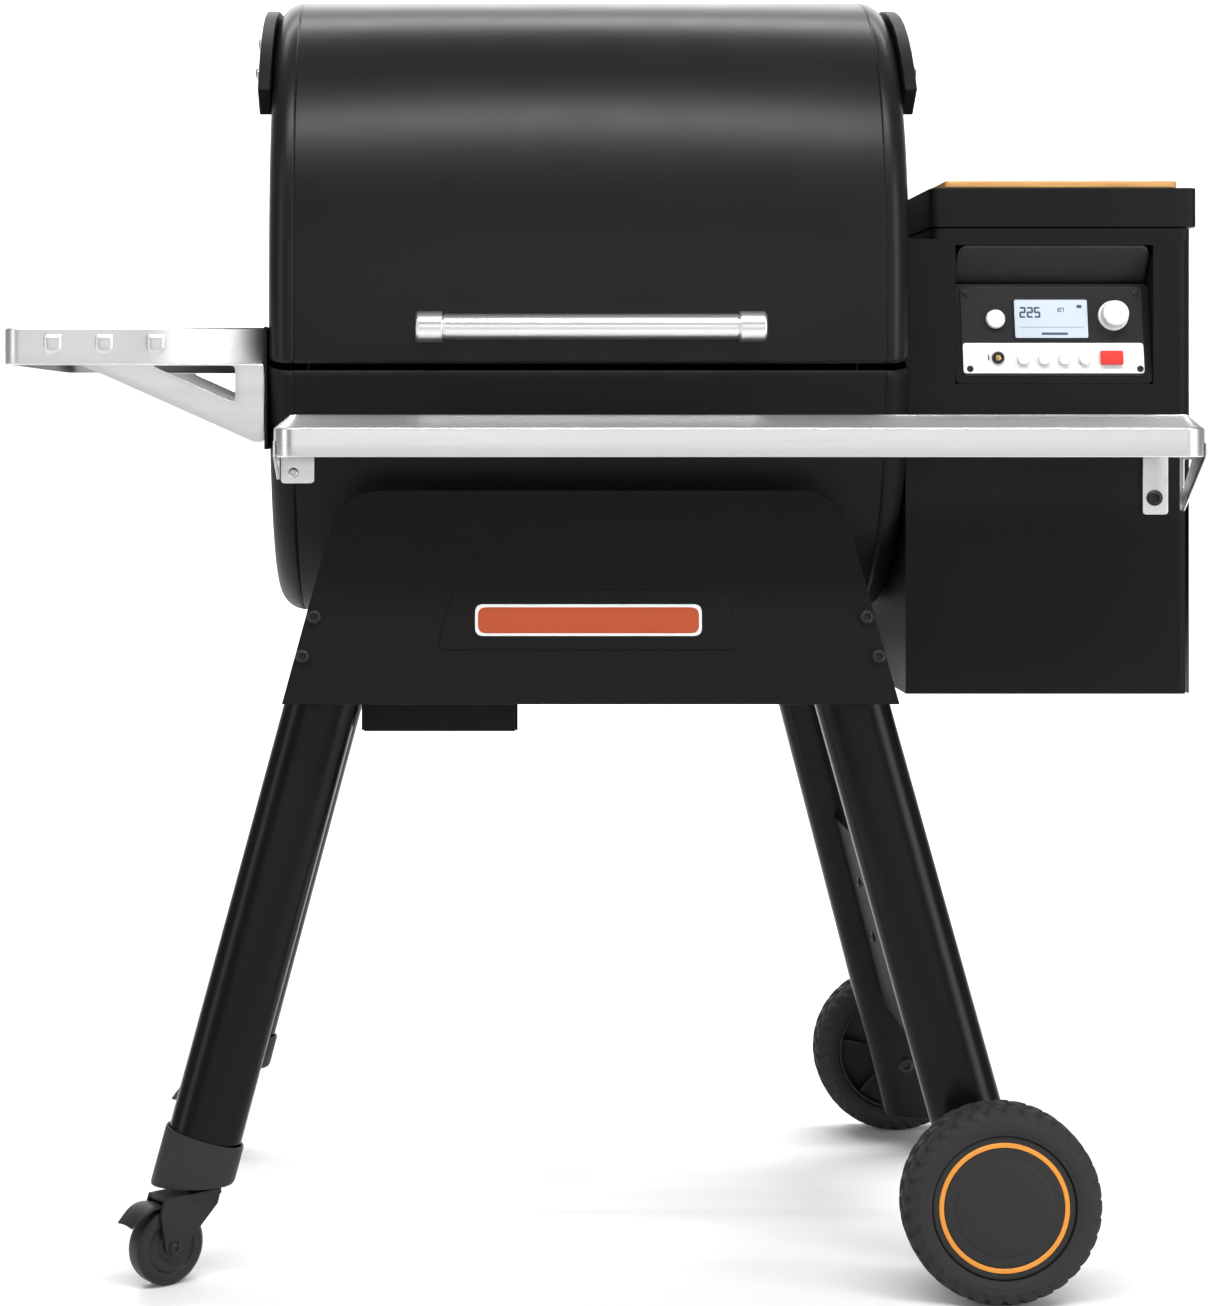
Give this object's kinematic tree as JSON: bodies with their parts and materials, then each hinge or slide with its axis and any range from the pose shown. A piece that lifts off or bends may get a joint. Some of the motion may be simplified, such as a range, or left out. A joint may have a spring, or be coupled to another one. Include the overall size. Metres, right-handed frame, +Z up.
{
  "type": "pellet smoker grill",
  "caption": "Barrel pellet smoker grill with hinged lid, pellet hopper with controls, folding front shelf, side shelf and splayed legs on wheels and casters.",
  "frame": {"origin": "centre of the bounding box in plan, on the floor", "axes": "+X to the right seen from the front, towards the hopper; +Y to the back; +Z up"},
  "size_m": [1.1712, 0.688, 1.27],
  "materials": {
    "black_paint": "fine matte powder coat",
    "gloss_black": "satin gloss",
    "black_plastic": "matte",
    "caster_black": "satin",
    "stainless": "brushed along its length",
    "brushed": "fine brushed",
    "chrome": "polished",
    "satin_metal": "satin",
    "dark_steel": "dull",
    "wire": "porcelain enamel",
    "wood": "oiled",
    "screen": "smooth",
    "red_plastic": "satin",
    "tyre": "matte",
    "hub": "matte"
  },
  "bodies": {
    "frame": {"body_shell": "black_paint", "body_end_left": "black_paint", "body_end_right": "black_paint", "side_shelf": "brushed", "side_shelf_mount": "black_paint", "hopper_box": "black_paint", "leg_brace": "black_paint", "apron_front": "black_paint", "apron_rear": "black_paint", "pan_rail_left": "black_paint", "pan_rail_right": "black_paint", "leg_front_left": "gloss_black", "leg_front_right": "gloss_black", "leg_rear_left": "gloss_black", "leg_rear_right": "gloss_black", "power_inlet": "black_plastic", "combustion_fan": "black_plastic", "control_panel": "black_plastic", "probe_jack": "black_plastic", "display_screen": "screen", "collar_front": "black_plastic", "collar_rear": "black_plastic", "shelf_bracket_left": "stainless", "shelf_bracket_right": "stainless", "heat_baffle": "dark_steel", "fire_pot": "dark_steel", "auger_tube": "dark_steel", "auger_motor": "dark_steel", "grate_rack_left": "wire", "grate_rack_right": "wire"},
    "lid": {"lid_shell": "black_paint", "lid_end_left": "black_paint", "lid_end_right": "black_paint", "hinge_arm_left": "black_paint", "hinge_arm_right": "black_paint", "lid_handle": "chrome"},
    "hopper_lid": {"hopper_lid": "black_paint"},
    "cutting_board": {"cutting_board": "wood"},
    "main_grate": {"main_grate": "wire"},
    "middle_grate": {"middle_grate": "wire"},
    "upper_grate": {"upper_grate": "wire"},
    "drip_tray": {"drip_tray": "dark_steel"},
    "auger": {"auger": "dark_steel"},
    "grease_pan": {"grease_pan": "black_paint"},
    "front_shelf": {"front_shelf": "stainless"},
    "selector_knob": {"selector_knob": "satin_metal"},
    "power_button": {"power_button": "satin_metal"},
    "ignite_button": {"ignite_button": "red_plastic"},
    "caster_fork_front": {"caster_fork_front": "caster_black"},
    "caster_fork_rear": {"caster_fork_rear": "caster_black"},
    "caster_wheel_front": {"caster_wheel_front": "caster_black"},
    "caster_wheel_rear": {"caster_wheel_rear": "caster_black"},
    "wheel_front": {"tyre_front": "tyre", "wheel_hub_front": "hub"},
    "wheel_rear": {"tyre_rear": "tyre", "wheel_hub_rear": "hub"},
    "menu_button_1": {"menu_button_1": "satin_metal"},
    "menu_button_2": {"menu_button_2": "satin_metal"},
    "menu_button_3": {"menu_button_3": "satin_metal"},
    "menu_button_4": {"menu_button_4": "satin_metal"}
  },
  "joints": [
    {"name": "lid_hinge", "type": "hinge", "parent": "frame", "child": "lid", "pos_m": [-0.0145, 0.172, 1.234], "axis": [-1, 0, 0], "range_deg": [0, 75]},
    {"name": "hopper_lid_hinge", "type": "hinge", "parent": "frame", "child": "hopper_lid", "pos_m": [0.4545, 0.187, 1.0233], "axis": [-1, 0, 0], "range_deg": [0, 85]},
    {"name": "board_lift", "type": "slide", "parent": "hopper_lid", "child": "cutting_board", "axis": [0, 0, 1], "range_m": [0, 0.05]},
    {"name": "main_grate_lift", "type": "slide", "parent": "frame", "child": "main_grate", "axis": [0, 0, 1], "range_m": [0, 0.04]},
    {"name": "middle_grate_lift", "type": "slide", "parent": "frame", "child": "middle_grate", "axis": [0, 0, 1], "range_m": [0, 0.04]},
    {"name": "upper_grate_lift", "type": "slide", "parent": "frame", "child": "upper_grate", "axis": [0, 0, 1], "range_m": [0, 0.05]},
    {"name": "drip_tray_lift", "type": "slide", "parent": "frame", "child": "drip_tray", "axis": [0, 0, 1], "range_m": [0, 0.03]},
    {"name": "auger_spin", "type": "hinge", "parent": "frame", "child": "auger", "pos_m": [0.045, 0, 0.722], "axis": [1, 0, 0], "continuous": true},
    {"name": "grease_pan_slide", "type": "slide", "parent": "frame", "child": "grease_pan", "axis": [0, -1, 0], "range_m": [0, 0.2]},
    {"name": "front_shelf_fold", "type": "hinge", "parent": "frame", "child": "front_shelf", "pos_m": [0.122, -0.268, 0.8], "axis": [1, 0, 0], "range_deg": [0, 90]},
    {"name": "knob_turn", "type": "hinge", "parent": "frame", "child": "selector_knob", "pos_m": [0.5052, -0.18935, 0.93623], "axis": [0, -0.9823, 0.1874], "continuous": true},
    {"name": "power_button_press", "type": "slide", "parent": "frame", "child": "power_button", "axis": [0, 0.9823, -0.1874], "range_m": [0, 0.0015], "stiffness_N_per_m": 400},
    {"name": "menu_button_1_press", "type": "slide", "parent": "frame", "child": "menu_button_1", "axis": [0, 0.9823, -0.1874], "range_m": [0, 0.0015], "stiffness_N_per_m": 400},
    {"name": "menu_button_2_press", "type": "slide", "parent": "frame", "child": "menu_button_2", "axis": [0, 0.9823, -0.1874], "range_m": [0, 0.0015], "stiffness_N_per_m": 400},
    {"name": "menu_button_3_press", "type": "slide", "parent": "frame", "child": "menu_button_3", "axis": [0, 0.9823, -0.1874], "range_m": [0, 0.0015], "stiffness_N_per_m": 400},
    {"name": "menu_button_4_press", "type": "slide", "parent": "frame", "child": "menu_button_4", "axis": [0, 0.9823, -0.1874], "range_m": [0, 0.0015], "stiffness_N_per_m": 400},
    {"name": "ignite_button_press", "type": "slide", "parent": "frame", "child": "ignite_button", "axis": [0, 0.9823, -0.1874], "range_m": [0, 0.0015], "stiffness_N_per_m": 400},
    {"name": "caster_swivel_front", "type": "hinge", "parent": "frame", "child": "caster_fork_front", "pos_m": [-0.39422, -0.22621, 0.086], "axis": [0, 0, 1], "continuous": true},
    {"name": "caster_roll_front", "type": "hinge", "parent": "caster_fork_front", "child": "caster_wheel_front", "pos_m": [-0.42377, -0.2493, 0.0375], "axis": [0.6157, -0.788, 0], "continuous": true},
    {"name": "wheel_roll_front", "type": "hinge", "parent": "frame", "child": "wheel_front", "pos_m": [0.37085, -0.303, 0.094], "axis": [0, -1, 0], "continuous": true},
    {"name": "caster_swivel_rear", "type": "hinge", "parent": "frame", "child": "caster_fork_rear", "pos_m": [-0.39422, 0.24222, 0.086], "axis": [0, 0, 1], "continuous": true},
    {"name": "caster_roll_rear", "type": "hinge", "parent": "caster_fork_rear", "child": "caster_wheel_rear", "pos_m": [-0.42377, 0.21913, 0.0375], "axis": [0.6157, -0.788, 0], "continuous": true},
    {"name": "wheel_roll_rear", "type": "hinge", "parent": "frame", "child": "wheel_rear", "pos_m": [0.37085, 0.319, 0.094], "axis": [0, 1, 0], "continuous": true}
  ]
}
